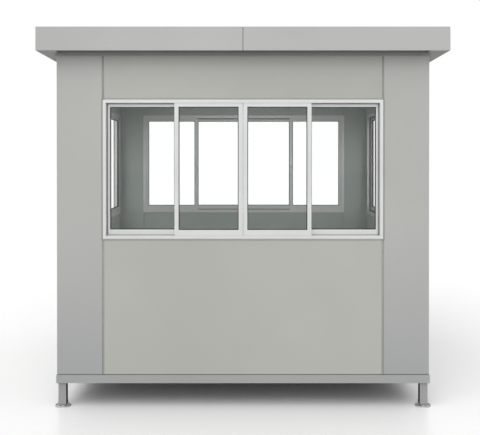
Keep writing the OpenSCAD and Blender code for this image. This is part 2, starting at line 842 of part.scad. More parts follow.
foot_plates();
legs();
base_channels_front_back();
base_channels_sides();
floor_joists();
floor_panel();
corner_front_left();
corner_front_right();
corner_back_left();
corner_back_right();
front_sill_panel();
front_head_panel();
back_sill_panel();
back_head_panel();
left_sill_panel();
left_head_panel();
left_plain_panel();
right_sill_panel();
right_head_panel();
door_head_panel();
top_beams_front_back();
top_beams_sides();
roof_panel_left();
roof_panel_right();
fascia_front_left();
fascia_front_right();
fascia_back();
fascia_left();
fascia_right();
front_window_frame();
front_window_outer_sashes();
front_window_inner_sashes();
front_window_glass();
back_window_frame();
back_window_outer_sashes();
back_window_inner_sashes();
back_window_glass();
left_window_frame();
left_window_sashes();
left_window_glass();
right_window_frame();
right_window_sashes();
right_window_glass();
glazing_gaskets();
door_frame();
door_leaf();
door_panel();
door_glass();
door_handle();
door_hinges();
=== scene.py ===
# %% [markdown]
# # A security guard booth
#
# The booth is a cabin of painted sandwich panels on a welded steel base frame, with sliding
# aluminium windows on four sides, a door in its right wall and a sheet-metal fascia round a
# flat roof. The construction comes from the packed model: this lesson loads it as a fixed
# frame and gives it its finishes, its small fittings, its light and its camera.

# %% Load the packed frame
import json
import math

import bmesh
import bpy
from mathutils import Matrix, Vector


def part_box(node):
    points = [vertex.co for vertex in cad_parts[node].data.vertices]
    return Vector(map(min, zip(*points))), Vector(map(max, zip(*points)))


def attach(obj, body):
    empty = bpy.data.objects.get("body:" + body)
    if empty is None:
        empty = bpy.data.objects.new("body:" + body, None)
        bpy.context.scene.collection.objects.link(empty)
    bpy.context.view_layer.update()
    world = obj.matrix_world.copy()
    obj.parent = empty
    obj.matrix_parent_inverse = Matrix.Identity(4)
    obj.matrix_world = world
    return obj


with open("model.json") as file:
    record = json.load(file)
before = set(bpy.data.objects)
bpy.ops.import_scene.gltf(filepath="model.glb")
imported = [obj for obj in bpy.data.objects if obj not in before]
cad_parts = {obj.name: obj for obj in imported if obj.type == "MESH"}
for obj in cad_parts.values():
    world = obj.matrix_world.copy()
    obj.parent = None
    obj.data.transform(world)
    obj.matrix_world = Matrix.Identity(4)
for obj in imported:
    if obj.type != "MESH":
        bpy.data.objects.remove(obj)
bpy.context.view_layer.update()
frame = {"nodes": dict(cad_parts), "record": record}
scene = bpy.context.scene
print("Nodes in the frame:", len(frame["nodes"]))

# %% [markdown] ## Places that later cells need  Every size is read from the frame's own
# nodes, so that the fittings follow the booth when its sizes change. Numbers typed in by
# hand would be right only once.

# %% Read the main boxes
MM = 0.001


def low_corner(node):
    """A node's lowest corner in metres."""
    return Vector(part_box(node)[0])


def high_corner(node):
    """A node's highest corner in metres."""
    return Vector(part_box(node)[1])


wall_front = low_corner("front_sill_panel").y
wall_thickness = high_corner("front_sill_panel").y - wall_front
wall_middle = -wall_front - wall_thickness / 2
print("Front face of the wall at y =", round(wall_front, 4), "and its middle at", round(wall_middle, 4))

# %% [markdown]
# ## Camera
#
# A product picture of a building is taken with the camera level, so that upright edges stay
# upright, and the frame is then shifted to bring the whole object in. The camera here stands
# a little over six metres in front of the booth at eye height, with a hair of downward tilt,
# and the lens shift does what a view camera's sliding back does. Tilting the camera instead
# would make the walls lean.

# %% Set the camera
CAMERA_PLACE = (0.0151, -6.3134, 1.6458)
CAMERA_TILT = math.radians(0.399)
CAMERA_LENS = 59.5135
CAMERA_SHIFT = (-0.01109, -0.12451)

camera_data = bpy.data.cameras.new("front_camera")
camera_data.sensor_width = 36.0
camera_data.sensor_fit = "HORIZONTAL"
camera_data.lens = CAMERA_LENS
camera_data.shift_x, camera_data.shift_y = CAMERA_SHIFT
camera_data.clip_end = 200.0
camera = bpy.data.objects.new("front_camera", camera_data)
camera.location = CAMERA_PLACE
camera.rotation_euler = (math.pi / 2 - CAMERA_TILT, 0.0, 0.0)
scene.collection.objects.link(camera)
scene.camera = camera
print("Lens in mm:", camera_data.lens)

# %% [markdown]
# ## Colours from a paint chart
#
# A paint chart gives colours from 0 to 255 on a display's curve, while a shader takes linear
# light. Linear values could be typed in directly, but few people can picture them. So one
# helper turns the chart's numbers into the shader's.


# %% Chart colours
def tone(red, green, blue):
    """A chart colour, 0 to 255, as the linear colour that a shader takes."""
    channels = []
    for value in (red, green, blue):
        share = value / 255
        linear = share / 12.92 if share <= 0.04045 else ((share + 0.055) / 1.055) ** 2.4
        channels.append(linear)
    return (*channels, 1.0)


print("Mid grey on the chart is", round(tone(128, 128, 128)[0], 3), "to a shader")

# %% [markdown]
# ## A finish is a small network of nodes
#
# Each finish could be wired by hand in the shader editor. The class below does the same in
# code: it adds a node, sets its inputs by name and wires it, so that a finish reads as a short
# recipe. Its patterns use the Object coordinates, in metres, because those stay on the booth
# whichever side it is seen from.


# %% The class for finishes
class Finish:
    """A node material with one Principled shader, built up step by step."""

    def __init__(self, name, roughness=0.5, metallic=0.0):
        self.material = bpy.data.materials.new(name)
        self.material.use_nodes = True
        self.tree = self.material.node_tree
        self.shader = self.tree.nodes["Principled BSDF"]
        self.output = self.tree.nodes["Material Output"]
        self.shader.inputs["Roughness"].default_value = roughness
        self.shader.inputs["Metallic"].default_value = metallic
        self.place = self.add("ShaderNodeTexCoord").outputs["Object"]

    def add(self, kind, **values):
        """Adds a node and sets its inputs by name; an underscore stands for a space."""
        node = self.tree.nodes.new(kind)
        for key, value in values.items():
            node.inputs[key.replace("_", " ")].default_value = value
        return node

    def join(self, source, target):
        """Wires an output into an input."""
        self.tree.links.new(source, target)

    def feed(self, sources, sockets):
        """Wires each output into its socket, or writes a plain value there."""
        for source, socket in zip(sources, sockets):
            if isinstance(source, bpy.types.NodeSocket):
                self.join(source, socket)
            else:
                socket.default_value = source

    def stretched(self, x, y, z):
        """The object's own coordinates, scaled along each axis."""
        mapping = self.add("ShaderNodeMapping", Scale=(x, y, z))
        self.join(self.place, mapping.inputs["Vector"])
        return mapping.outputs["Vector"]

    def noise(self, scale, detail=2.0, place=None, roughness=0.5):
        """A noise pattern; scale is in patches a metre."""
        node = self.add("ShaderNodeTexNoise", Scale=scale, Detail=detail, Roughness=roughness)
        self.join(place or self.place, node.inputs["Vector"])
        return node.outputs["Fac"]

    def spread(self, source, low, high, start=0.0, end=1.0):
        """Maps a pattern's range from start to end onto low to high."""
        node = self.add("ShaderNodeMapRange", From_Min=start, From_Max=end, To_Min=low, To_Max=high)
        self.join(source, node.inputs["Value"])
        return node.outputs["Result"]

    def blend(self, share, first, second):
        """A colour between two others; each is a colour or an output."""
        node = self.tree.nodes.new("ShaderNodeMix")
        node.data_type = "RGBA"
        self.feed((first, second), [socket for socket in node.inputs if socket.type == "RGBA"])
        self.join(share, node.inputs["Factor"])
        return next(socket for socket in node.outputs if socket.type == "RGBA")

    def math(self, operation, first, second=0.0):
        """One step of arithmetic on outputs or plain numbers."""
        node = self.tree.nodes.new("ShaderNodeMath")
        node.operation = operation
        self.feed((first, second), node.inputs)
        return node.outputs[0]

    def relief(self, source, depth, under=None):
        """A bump whose full height is depth in metres, on top of another bump."""
        node = self.add("ShaderNodeBump", Strength=1.0, Distance=depth)
        self.join(source, node.inputs["Height"])
        if under is not None:
            self.join(under, node.inputs["Normal"])
        return node.outputs["Normal"]

    def wear(self, colour=None, roughness=None, normal=None):
        """Wires the patterns into the shader."""
        for source, socket in ((colour, "Base Color"), (roughness, "Roughness"), (normal, "Normal")):
            if source is not None:
                self.join(source, self.shader.inputs[socket])
        return self.material


print("A finish has these steps:", [step for step in vars(Finish) if not step.startswith("_")])

# %% [markdown]
# ## Masks by place
#
# A sandwich panel has one sheet outdoors and another indoors, each with its own paint, and
# the corner panels are painted darker low down, as shade from the floor. The panel's mesh has
# to stay in one piece, so it is the paint that finds out where it is. A mask is 1 in one region
# and 0 in the rest, worked out from the object's own coordinates with a few steps of arithmetic.

# %% Mask helpers
ROOF_FALL = 0.02
roof_middle = (low_corner("roof_panel_left").z + high_corner("roof_panel_left").z) / 2


def place_axes(finish):
    """The object's coordinates as three outputs, X, Y and Z."""
    split = finish.add("ShaderNodeSeparateXYZ")
    finish.join(finish.place, split.inputs["Vector"])
    return split.outputs


def inside(finish, limit, way="MAXIMUM"):
    """1 where the surface is nearer to the middle than limit, both ways or (MINIMUM) one way."""
    axes = place_axes(finish)
    across = finish.math("ABSOLUTE", axes["X"])
    along = finish.math("ABSOLUTE", axes["Y"])
    return finish.math("LESS_THAN", finish.math(way, across, along), limit)


def under_roof(finish):
    """1 below the roof panels' middle plane, which falls to the back."""
    axes = place_axes(finish)
    level = finish.math("ADD", axes["Z"], finish.math("MULTIPLY", axes["Y"], ROOF_FALL))
    return finish.math("LESS_THAN", level, roof_middle)


def low_down(finish, bottom, top):
    """1 at the height bottom and below, 0 at top and above."""
    return finish.spread(place_axes(finish)["Z"], 1.0, 0.0, bottom, top)


print("Middle of the roof panels at z =", round(roof_middle, 4))

# %% [markdown]
# ## Painted sheet
#
# The cabin's skins are steel sheet with a baked polyester paint. Up close the paint has a
# fine orange peel, and over a metre or so the tone drifts by a percent or two, because the
# sheet is never dead flat. A flat grey would look like plastic. So the recipe has three
# scales: a slow drift of colour, a cloud in the gloss, and the peel as a bump of some
# hundredths of a millimetre.

# %% Paint recipe
PAINT_DRIFT = 4
PEEL_DEPTH = 0.06 * MM
# Heights in metres: the painted shade low down is full at the first and gone at the second.
LOW_SHADE_HEIGHTS = (0.15, 1.25)


def sheet_paint(name, colour, gloss=(0.42, 0.56), mirror=0.35, wave_depth=0.8 * MM, lining=None,
                limit=wall_middle, way="MAXIMUM", low_shade=None):
    """Baked paint on steel sheet; lining faces inwards from limit, and the tone for low down is painted
    shade.
    """
    paint = Finish(name)
    paint.shader.inputs["Specular IOR Level"].default_value = mirror
    darker = tone(*(value - PAINT_DRIFT for value in colour))
    lighter = tone(*(value + PAINT_DRIFT for value in colour))
    drift = paint.noise(0.9, detail=3.0)
    body = paint.blend(paint.spread(drift, 0.0, 1.0, 0.3, 0.7), darker, lighter)
    # Painted shade: the tone given for low down darkens the sheet towards the bottom, as shade from the
    # floor.
    if low_shade is not None:
        body = paint.blend(low_down(paint, *LOW_SHADE_HEIGHTS), body, tone(*low_shade))
    # On the legs this inner tone is painted shade on the sides that look under the booth.
    if lining is not None:
        indoors = paint.math("MULTIPLY", inside(paint, limit, way), under_roof(paint))
        body = paint.blend(indoors, body, tone(*lining))
    cloud = paint.noise(9.0, detail=4.0)
    wave = paint.relief(paint.noise(2.2, detail=1.0), wave_depth)
    peel = paint.relief(paint.noise(700.0, detail=2.0), PEEL_DEPTH, under=wave)
    return paint.wear(body, paint.spread(cloud, *gloss, 0.3, 0.7), peel)


print("Depth of the peel in mm:", PEEL_DEPTH / MM)

# %% [markdown]
# ## Mix the paints
#
# The panels, corners, fascia and base frame come from different shops, so each has its own
# grey, and the corners are painted darker low down, as shade from the floor. Indoors all panels
# share a cooler grey. The legs are painted where they show; the sides that look under the booth
# take the dark tone of the joists' primer, as painted shade. One recipe with a few choices keeps
# all of these alike.

# %% Mix the paints
LINING = (166, 173, 169)
# Primer on the joists; the same tone is painted shade on the legs' inner sides.
PRIMER_AND_SHADE = (80, 82, 81)
LEG_WIDTH = 50 * MM
leg_shade_limit = high_corner("legs").x - LEG_WIDTH + MM

wall_paint = sheet_paint("wall_paint", (179, 180, 174), lining=LINING)
corner_paint = sheet_paint("corner_paint", (182, 183, 179), lining=LINING, low_shade=(164, 165, 166))
fascia_paint = sheet_paint("fascia_paint", (185, 185, 184), gloss=(0.5, 0.62), mirror=0.2)
beam_paint = sheet_paint("beam_paint", (165, 166, 164), lining=LINING, mirror=0.15)
roof_paint = sheet_paint("roof_paint", (182, 184, 182), gloss=(0.55, 0.72), lining=LINING)
base_paint = sheet_paint("base_paint", (167, 168, 168), gloss=(0.6, 0.75), wave_depth=0.2 * MM,
                         mirror=0.1)
# The legs' inner sides take the primer's dark tone as painted shade.
leg_paint_and_shade = sheet_paint("leg_paint_and_shade", (161, 162, 161), gloss=(0.6, 0.75), wave_depth=0.2 * MM,
                        mirror=0.1, lining=PRIMER_AND_SHADE, limit=leg_shade_limit, way="MINIMUM")
joist_paint = sheet_paint("joist_paint", PRIMER_AND_SHADE, gloss=(0.6, 0.75), wave_depth=0.2 * MM)
print("Paints:", wall_paint.name, corner_paint.name, fascia_paint.name, beam_paint.name,
      roof_paint.name, base_paint.name, leg_paint_and_shade.name, joist_paint.name)

# %% [markdown]
# ## Anodised aluminium
#
# The window bars are extruded aluminium, etched and satin anodised. The oxide skin scatters
# much of the light before it reaches the metal, so the bars look pale and even from every
# side. A fully metallic shader would turn dark wherever it has nothing to mirror, so the
# recipe is only partly metallic, with a fine grain from the etching bath.


# %% Window aluminium
def anodised(name, colour):
    """Etched, satin anodised aluminium extrusion."""
    coat = Finish(name, metallic=0.4)
    grain = coat.noise(900.0, detail=2.0)
    cloud = coat.noise(6.0, detail=3.0)
    duller = tone(*(value - 5 for value in colour))
    tint = coat.blend(coat.spread(cloud, 0.0, 1.0, 0.3, 0.7), tone(*colour), duller)
    return coat.wear(tint, coat.spread(grain, 0.4, 0.52, 0.3, 0.7), coat.relief(grain, 0.04 * MM))


window_aluminium = anodised("window_aluminium", (205, 206, 205))
print("Made", window_aluminium.name)

# %% [markdown]
# ## Galvanised steel
#
# The feet are dipped in zinc, which freezes as flat crystals, each with its own tone and
# gloss. A Voronoi pattern has such cells, and gives every cell one random colour: its red
# chooses the tone and its green the gloss. Zinc soon grows a dull skin outdoors, so the
# recipe is half metallic.


# %% Foot steel
def galvanised(name, colour):
    """Hot-dip galvanised steel with its zinc crystals."""
    metal = Finish(name, metallic=0.5)
    crystals = metal.add("ShaderNodeTexVoronoi", Scale=120.0)
    metal.join(metal.place, crystals.inputs["Vector"])
    split = metal.add("ShaderNodeSeparateColor")
    metal.join(crystals.outputs["Color"], split.inputs["Color"])
    darker = tone(*(value - 26 for value in colour))
    tint = metal.blend(split.outputs["Red"], tone(*colour), darker)
    rough = metal.spread(split.outputs["Green"], 0.38, 0.6)
    skin = metal.relief(metal.noise(300.0, detail=3.0), 0.08 * MM)
    return metal.wear(tint, rough, skin)


foot_steel = galvanised("foot_steel", (198, 200, 199))
print("Made", foot_steel.name)

# %% [markdown]
# ## Brushed stainless steel
#
# The door's handle, hinges and screws are stainless steel with a brushed face. Brushing
# leaves scratches that run one way, so the noise is stretched: thousands of patches a metre
# across the brush and only thirty along it. The metal is bare, so it is fully metallic and
# takes its tone from what it mirrors.


# %% Door metal
def brushed(name, colour):
    """Stainless steel brushed along the height."""
    metal = Finish(name, metallic=1.0)
    scratches = metal.noise(1.0, detail=4.0, place=metal.stretched(2600.0, 2600.0, 30.0))
    tint = metal.blend(scratches, tone(*colour), tone(*(value - 14 for value in colour)))
    lines = metal.relief(scratches, 0.02 * MM)
    return metal.wear(tint, metal.spread(scratches, 0.26, 0.42, 0.3, 0.7), lines)


door_metal = brushed("door_metal", (206, 207, 206))
print("Made", door_metal.name)

# %% [markdown]
# ## Glazing rubber
#
# A black gasket runs round every pane. Rubber is never quite black: a faint bloom of wax
# greys it in patches, which also makes it more matt. The same noise drives both, because on
# the real rubber they are one thing.


# %% Gasket rubber
def rubber(name):
    """Black glazing rubber."""
    skin = Finish(name)
    bloom = skin.noise(60.0, detail=4.0)
    body = skin.blend(skin.spread(bloom, 0.0, 1.0, 0.35, 0.7), tone(34, 35, 35), tone(52, 53, 52))
    pores = skin.relief(skin.noise(1800.0), 0.04 * MM)
    return skin.wear(body, skin.spread(bloom, 0.62, 0.8, 0.3, 0.7), pores)


gasket_rubber = rubber("gasket_rubber")
print("Made", gasket_rubber.name)

# %% [markdown]
# ## Floor covering
#
# The floor is a board with a speckled vinyl sheet on top and a dark primer underneath. Both
# are in one node, so the height tells them apart. The speckle is a noise of many octaves that
# is cut hard, and a slow cloud in the gloss stands for the scuffs of shoes.


# %% Floor vinyl
def vinyl(name, height):
    """Speckled vinyl floor covering at the height, on board primed dark underneath."""
    sheet = Finish(name)
    speckle = sheet.noise(420.0, detail=5.0, roughness=0.7)
    flecks = sheet.spread(speckle, 0.0, 1.0, 0.42, 0.6)
    body = sheet.blend(flecks, tone(160, 163, 161), tone(184, 186, 183))
    body = sheet.blend(low_down(sheet, height - 3 * MM, height - MM), body, tone(62, 64, 63))
    scuff = sheet.noise(5.0, detail=5.0)
    return sheet.wear(body, sheet.spread(scuff, 0.42, 0.62, 0.3, 0.7), sheet.relief(speckle, 0.06 * MM))


floor_vinyl = vinyl("floor_vinyl", high_corner("floor_panel").z)
print("Made", floor_vinyl.name)

# %% [markdown]
# ## Float glass
#
# The panes are clear float glass, which takes a hint of green from its thickness. A flat pane
# bends light so little that a film looks the same, and a film lets the light of the lamps
# into the room, which a bending surface would stop. So the recipe mixes a transparent shader
# with a small share of mirror. The share grows towards grazing views, as it does on a real
# pane, and a slow bump keeps the mirror from being perfect.


# %% Window glass
def float_glass(name, tint, mirror):
    """A thin clear pane: a tinted film, and a share of mirror that grows towards grazing views."""
    pane = Finish(name)
    shine = pane.add("ShaderNodeBsdfGlossy", Color=(1.0, 1.0, 1.0, 1.0))
    haze = pane.noise(14.0, detail=4.0)
    pane.join(pane.spread(haze, 0.01, 0.05, 0.4, 0.8), shine.inputs["Roughness"])
    pane.join(pane.relief(pane.noise(1.6, detail=1.0), 0.3 * MM), shine.inputs["Normal"])
    edge = pane.add("ShaderNodeLayerWeight", Blend=0.3)
    share = pane.spread(edge.outputs["Facing"], *mirror)
    clear = pane.add("ShaderNodeBsdfTransparent", Color=tint)
    choice = pane.add("ShaderNodeMixShader")
    pane.feed((share, clear.outputs["BSDF"], shine.outputs["BSDF"]), choice.inputs)
    pane.join(choice.outputs["Shader"], pane.output.inputs["Surface"])
    pane.tree.nodes.remove(pane.shader)
    return pane.material


window_glass = float_glass("window_glass", (0.995, 1.0, 0.9975, 1.0), (0.01, 0.03))
print("Made", window_glass.name)

# %% [markdown]
# ## Dress the frame's nodes
#
# The record says which finish each node takes. Each mesh could be copied and painted, but a
# node's shape is right as it is, so it keeps its mesh and only its material slots change. The
# legs alone differ from the rest of the base frame, because their inner sides carry painted
# shade in the primer's dark tone.

# %% Give every node its finish
finishes = {
    "foot_steel": foot_steel,
    "base_paint": base_paint,
    "joist_steel": joist_paint,
    "floor_board": floor_vinyl,
    "corner_paint": corner_paint,
    "wall_paint": wall_paint,
    "beam_paint": beam_paint,
    "roof_paint": roof_paint,
    "fascia_paint": fascia_paint,
    "window_glass": window_glass,
    "gasket_rubber": gasket_rubber,
    "door_metal": door_metal,
    "window_aluminium": window_aluminium,
}
for subpart in frame["record"]["subparts"]:
    finish = leg_paint_and_shade if subpart["node"] == "legs" else finishes[subpart["material_slot"]]
    for material_slot in frame["nodes"][subpart["node"]].material_slots:
        material_slot.material = finish

# %% [markdown]
# ## Walls as drawing boards
#
# Most fittings sit on one of the four walls. They could be placed wall by wall, but it is
# easier to draw each of them once, as if its wall faced the reader, and then to turn the
# drawing to its side of the booth. On such a board x runs along the wall, z goes up, and y is
# the depth: minus is outdoors, plus is indoors, and zero is the middle of the wall's
# thickness. A small matrix for each wall does the turning.

# %% Boards for the walls and the openings on them
TRIM_LAP = 8 * MM
inner_face = wall_thickness / 2
outer_face = -inner_face

boards = {
    "front": Matrix.Translation((0.0, -wall_middle, 0.0)),
    "back": Matrix.Translation((0.0, wall_middle, 0.0)) @ Matrix.Rotation(math.pi, 4, "Z"),
    "left": Matrix.Translation((-wall_middle, 0.0, 0.0)) @ Matrix.Rotation(-math.pi / 2, 4, "Z"),
    "right": Matrix.Translation((wall_middle, 0.0, 0.0)) @ Matrix.Rotation(math.pi / 2, 4, "Z"),
}


def on_board(side, node):
    """A node's box as its wall's board shows it."""
    flat = boards[side].inverted()
    ends = [flat @ low_corner(node), flat @ high_corner(node)]
    return (Vector([min(a, b) for a, b in zip(*ends)]), Vector([max(a, b) for a, b in zip(*ends)]))


windows = {}
frames = {}
for side in boards:
    low, high = on_board(side, side + "_window_frame")
    frames[side] = (low.x, high.x, low.z, high.z)
    windows[side] = (low.x + TRIM_LAP, high.x - TRIM_LAP, low.z + TRIM_LAP, high.z - TRIM_LAP)
    print(side, "window from", round(windows[side][0], 3), "to", round(windows[side][1], 3))

# %% [markdown]
# ## A bar with rounded edges
#
# Beads, latches and keyholes are all bars whose edges catch a little light. A bar starts from
# a cube that is stretched to its two corners, and bevel rounds the edges: a plain box would
# look cut from paper. It is added to an open bmesh, so that a piece such as the beads of four
# walls becomes one object.


# %% Bar helper
def once(items):
    """Each item once, in the order found."""
    return list(dict.fromkeys(items))


def put(shape, known, place):
    """Moves the vertices that are not in known to their place."""
    bmesh.ops.transform(shape, matrix=place, verts=[v for v in shape.verts if v not in known])


def bar(shape, low, high, soften=0.0, place=Matrix()):
    """A bar between two corners; soften is the radius of its edges."""
    known = set(shape.verts)
    low, high = Vector(low), Vector(high)
    fit = Matrix.Translation((low + high) / 2) @ Matrix.Diagonal((*(high - low), 1.0))
    cube = bmesh.ops.create_cube(shape, size=1.0, matrix=fit)
    if soften:
        edges = once(edge for vertex in cube["verts"] for edge in vertex.link_edges)
        bmesh.ops.bevel(shape, geom=edges, offset=soften, affect="EDGES", segments=2,
                        profile=0.5, material=-1)
    put(shape, known, place)


trial = bmesh.new()
bar(trial, (0.0, 0.0, 0.0), (10 * MM, 10 * MM, 100 * MM), MM)
print("A rounded bar has", len(trial.faces), "faces")
trial.free()

# %% [markdown]
# ## A rectangular ring
#
# Seals and beads run round a window or a door in one piece. Four bars would leave seams at
# the corners. So a ring starts from one flat face: inset gives it its band, the middle is
# deleted, extrude gives it its depth, and bevel softens the edges of its front.


# %% Ring helper
def ring(shape, left, right, bottom, top, band, near, far, soften=0.0, place=Matrix()):
    """A rectangular ring in the board's plane, band wide, from depth near to depth far."""
    known = set(shape.verts)
    fit = (Matrix.Translation(((left + right) / 2, near, (bottom + top) / 2))
           @ Matrix.Rotation(math.pi / 2, 4, "X")
           @ Matrix.Diagonal(((right - left) / 2, (top - bottom) / 2, 1.0, 1.0)))
    grid = bmesh.ops.create_grid(shape, x_segments=1, y_segments=1, size=1.0, matrix=fit)
    middle = grid["verts"][0].link_faces[0]
    rim = bmesh.ops.inset_region(shape, faces=[middle], thickness=band, use_boundary=True,
                                 use_even_offset=True)["faces"]
    bmesh.ops.delete(shape, geom=[middle], context="FACES")
    grown = bmesh.ops.extrude_face_region(shape, geom=rim, use_keep_orig=True)["geom"]
    front = [item for item in grown if isinstance(item, bmesh.types.BMVert)]
    bmesh.ops.translate(shape, vec=(0.0, far - near, 0.0), verts=front)
    if soften:
        faces = [item for item in grown if isinstance(item, bmesh.types.BMFace)]
        edges = once(edge for face in faces for edge in face.edges)
        corners = [edge for edge in edges if sum(face in faces for face in edge.link_faces) == 1]
        bmesh.ops.bevel(shape, geom=corners, offset=soften, affect="EDGES", segments=2,
                        profile=0.5, material=-1)
    put(shape, known, place)


trial = bmesh.new()
ring(trial, -1.0, 1.0, 0.0, 1.0, 10 * MM, 0.0, -5 * MM, MM)
print("A softened ring has", len(trial.faces), "faces")
trial.free()

# %% [markdown] ## From a shape to a piece  A finished bmesh becomes an object in the same way
# each time: doubled vertices are joined, normals turned outwards, and round faces smoothed
# while corners sharper than 35 degrees stay sharp.


# %% Piece helper
def piece(name, shape, finish):
    """Makes an object of a bmesh, smooths its round faces and fixes it to the booth."""
    bmesh.ops.remove_doubles(shape, verts=shape.verts, dist=1e-6)
    bmesh.ops.recalc_face_normals(shape, faces=shape.faces)
    mesh = bpy.data.meshes.new(name)
    shape.to_mesh(mesh)
    shape.free()
    mesh.materials.append(finish)
    mesh.shade_smooth()
    mesh.set_sharp_from_angle(angle=math.radians(35))
    made = bpy.data.objects.new(name, mesh)
    scene.collection.objects.link(made)
    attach(made, "root")
    print(name, "has", len(mesh.polygons), "faces")


# %% [markdown]
# ## Sealant
#
# Wherever two panels meet, the fitter closes the gap with a bead of sealant and smooths it
# with a spatula. The beads draw the thin lines on the pale walls. Sealant is a little darker
# than the paint beside it and quite matt, and the spatula leaves a faint waviness. It ages
# differently from place to place, so each kind of joint has its own grey.


# %% Sealant finishes
def sealant(name, colour, lining=None):
    """Matt sealant with a faint waviness from the spatula; lining is its tone indoors."""
    bead = Finish(name)
    bead.shader.inputs["Specular IOR Level"].default_value = 0.2
    film = bead.noise(35.0, detail=4.0)
    darker = tone(*(value - 8 for value in colour))
    body = bead.blend(bead.spread(film, 0.0, 1.0, 0.35, 0.65), darker, tone(*colour))
    if lining is not None:
        body = bead.blend(inside(bead, wall_middle), body, tone(*lining))
    tool = bead.relief(bead.noise(55.0, detail=2.0), 0.6 * MM)
    return bead.wear(body, bead.spread(film, 0.6, 0.8, 0.3, 0.7), tool)


joint_grey = sealant("joint_sealant", (166, 167, 163), (160, 166, 162))
frame_grey = sealant("frame_sealant", (170, 171, 167))
base_grey = sealant("base_sealant", (124, 125, 124))
seam_grey = sealant("seam_sealant", (146, 147, 146))
print("Sealants:", joint_grey.name, frame_grey.name, base_grey.name, seam_grey.name)

# %% [markdown]
# ## Beads in the panel joints
#
# Two wall panels meet in an upright groove, outdoors and indoors alike. The line could be
# painted on, but a real groove has a shade of its own, so the bead lies a little below the
# wall's face and lets it. Beside a window it stops short of the frame, and at the door it
# runs only above.

# %% Fill the joints
GROOVE_DEPTH = 4 * MM
BEAD_RISE = 2 * MM
BEAD_WIDTH = 11 * MM
BEAD_ROUND = 0.8 * MM
FRAME_CLEAR = 4 * MM
wall_foot = low_corner("front_sill_panel").z
wall_head = low_corner("top_beams_front_back").z
door_low, door_high = on_board("right", "door_frame")

joint_shape = bmesh.new()
for side, (left, right, bottom, top) in windows.items():
    below = (wall_foot, bottom - FRAME_CLEAR)
    above = (top + FRAME_CLEAR, wall_head)
    joints = [(left, [below, above]), (right, [below, above])]
    if side == "left":
        joints.append((-door_low.x, [(wall_foot, wall_head)]))
    if side == "right":
        joints[0] = (left, [above])
    for x, spans in joints:
        for low_z, high_z in spans:
            for face, way in ((outer_face, 1), (inner_face, -1)):
                depths = sorted((face + way * GROOVE_DEPTH, face + way * (GROOVE_DEPTH - BEAD_RISE)))
                bar(joint_shape, (x - BEAD_WIDTH / 2, depths[0], low_z),
                    (x + BEAD_WIDTH / 2, depths[1], high_z), BEAD_ROUND, boards[side])
piece("joint_beads", joint_shape, joint_grey)

# %% [markdown]
# ## Beads round the frames
#
# A window frame is set into its opening and sealed where its trim meets the wall. That bead
# fills a corner, so it stands out from the wall by a millimetre or two, and it runs round the
# frame without a break: a ring is the shape for it. The door frame gets one as well.

# %% Seal the frames
FRAME_BEAD = 4 * MM
FRAME_BEAD_STAND = 1.5 * MM
frames["door"] = (door_low.x, door_high.x, door_low.z, door_high.z)
frame_shape = bmesh.new()
for side, (left, right, bottom, top) in frames.items():
    ring(frame_shape, left - FRAME_BEAD, right + FRAME_BEAD, bottom - FRAME_BEAD, top + FRAME_BEAD,
         FRAME_BEAD + MM, outer_face + 2 * MM, outer_face - FRAME_BEAD_STAND, 1.2 * MM,
         boards["right" if side == "door" else side])
piece("frame_beads", frame_shape, frame_grey)

# %% [markdown]
# ## The bead along the base frame
#
# The walls stand on the base frame with a gap of a few millimetres, which a darker bead
# closes against rain. It collects dust, so it is the darkest of the lines. One bar to a wall
# is enough, and two on the door's wall, because the door frame stands between them.

# %% Seal the base
BASE_BEAD_HEIGHT = 5 * MM
BASE_BEAD_END = 3 * MM
base_shape = bmesh.new()
for side in boards:
    spans = [(wall_front, -wall_front)]
    if side == "right":
        spans = [(wall_front, door_low.x), (door_high.x, -wall_front)]
    for left, right in spans:
        bar(base_shape, (left + BASE_BEAD_END, outer_face + 2 * MM, wall_foot),
            (right - BASE_BEAD_END, outer_face + GROOVE_DEPTH, wall_foot + BASE_BEAD_HEIGHT),
            BEAD_ROUND, boards[side])
piece("base_beads", base_shape, base_grey)

# %% [markdown]
# ## The seam of the fascia
#
# The front fascia is too long for one sheet, so two meet in the middle with a gap that lets
# them grow in the heat. Sealant fills it almost flush. The bar's face lies just behind the
# sheets, so the seam shows as a soft line and not as a slot.

# %% Fill the seam
SEAM_HALF = 3 * MM
SEAM_DEPTHS = (0.8 * MM, 2.9 * MM)
fascia_low = low_corner("fascia_front_left")
fascia_high = high_corner("fascia_front_left")
seam_shape = bmesh.new()
bar(seam_shape, (-SEAM_HALF, fascia_low.y + SEAM_DEPTHS[0], fascia_low.z + 0.5 * MM),
    (SEAM_HALF, fascia_low.y + SEAM_DEPTHS[1], fascia_high.z - 3 * MM), 0.5 * MM)
piece("seam_bead", seam_shape, seam_grey)

# %% [markdown]
# ## Brush seals
#
# A sliding sash needs play to run, so its gaps are closed with strips of pile: short dense
# bristles in a clip. One runs round each window between the middle rib and the inner sashes,
# and two stand in each interlock where two stiles pass. From here thousands of hairs would
# look no different from a dark strip, so the strip is solid and the bristles are a noise
# stretched along them.


# %% Pile finish
def pile(name):
    """Dark grey bristles, far finer than the strip is wide."""
    brush = Finish(name)
    fibres = brush.noise(1.0, detail=3.0, place=brush.stretched(2400.0, 500.0, 2400.0))
    body = brush.blend(fibres, tone(78, 79, 80), tone(112, 113, 114))
    return brush.wear(body, brush.spread(fibres, 0.8, 0.95), brush.relief(fibres, 0.4 * MM))


brush_pile = pile("brush_pile")
print("Made", brush_pile.name)

# %% [markdown]
# ## Where two stiles pass
#
# The front and back windows have four sashes, so stiles pass each other in two places. A side
# window has two sashes and one such place. The seals and the latches both need these places,
# so they are worked out once, from the window's width and the width of a stile.

# %% Find where stiles pass
STILE = 27 * MM
SASH_SHORT = 9 * MM

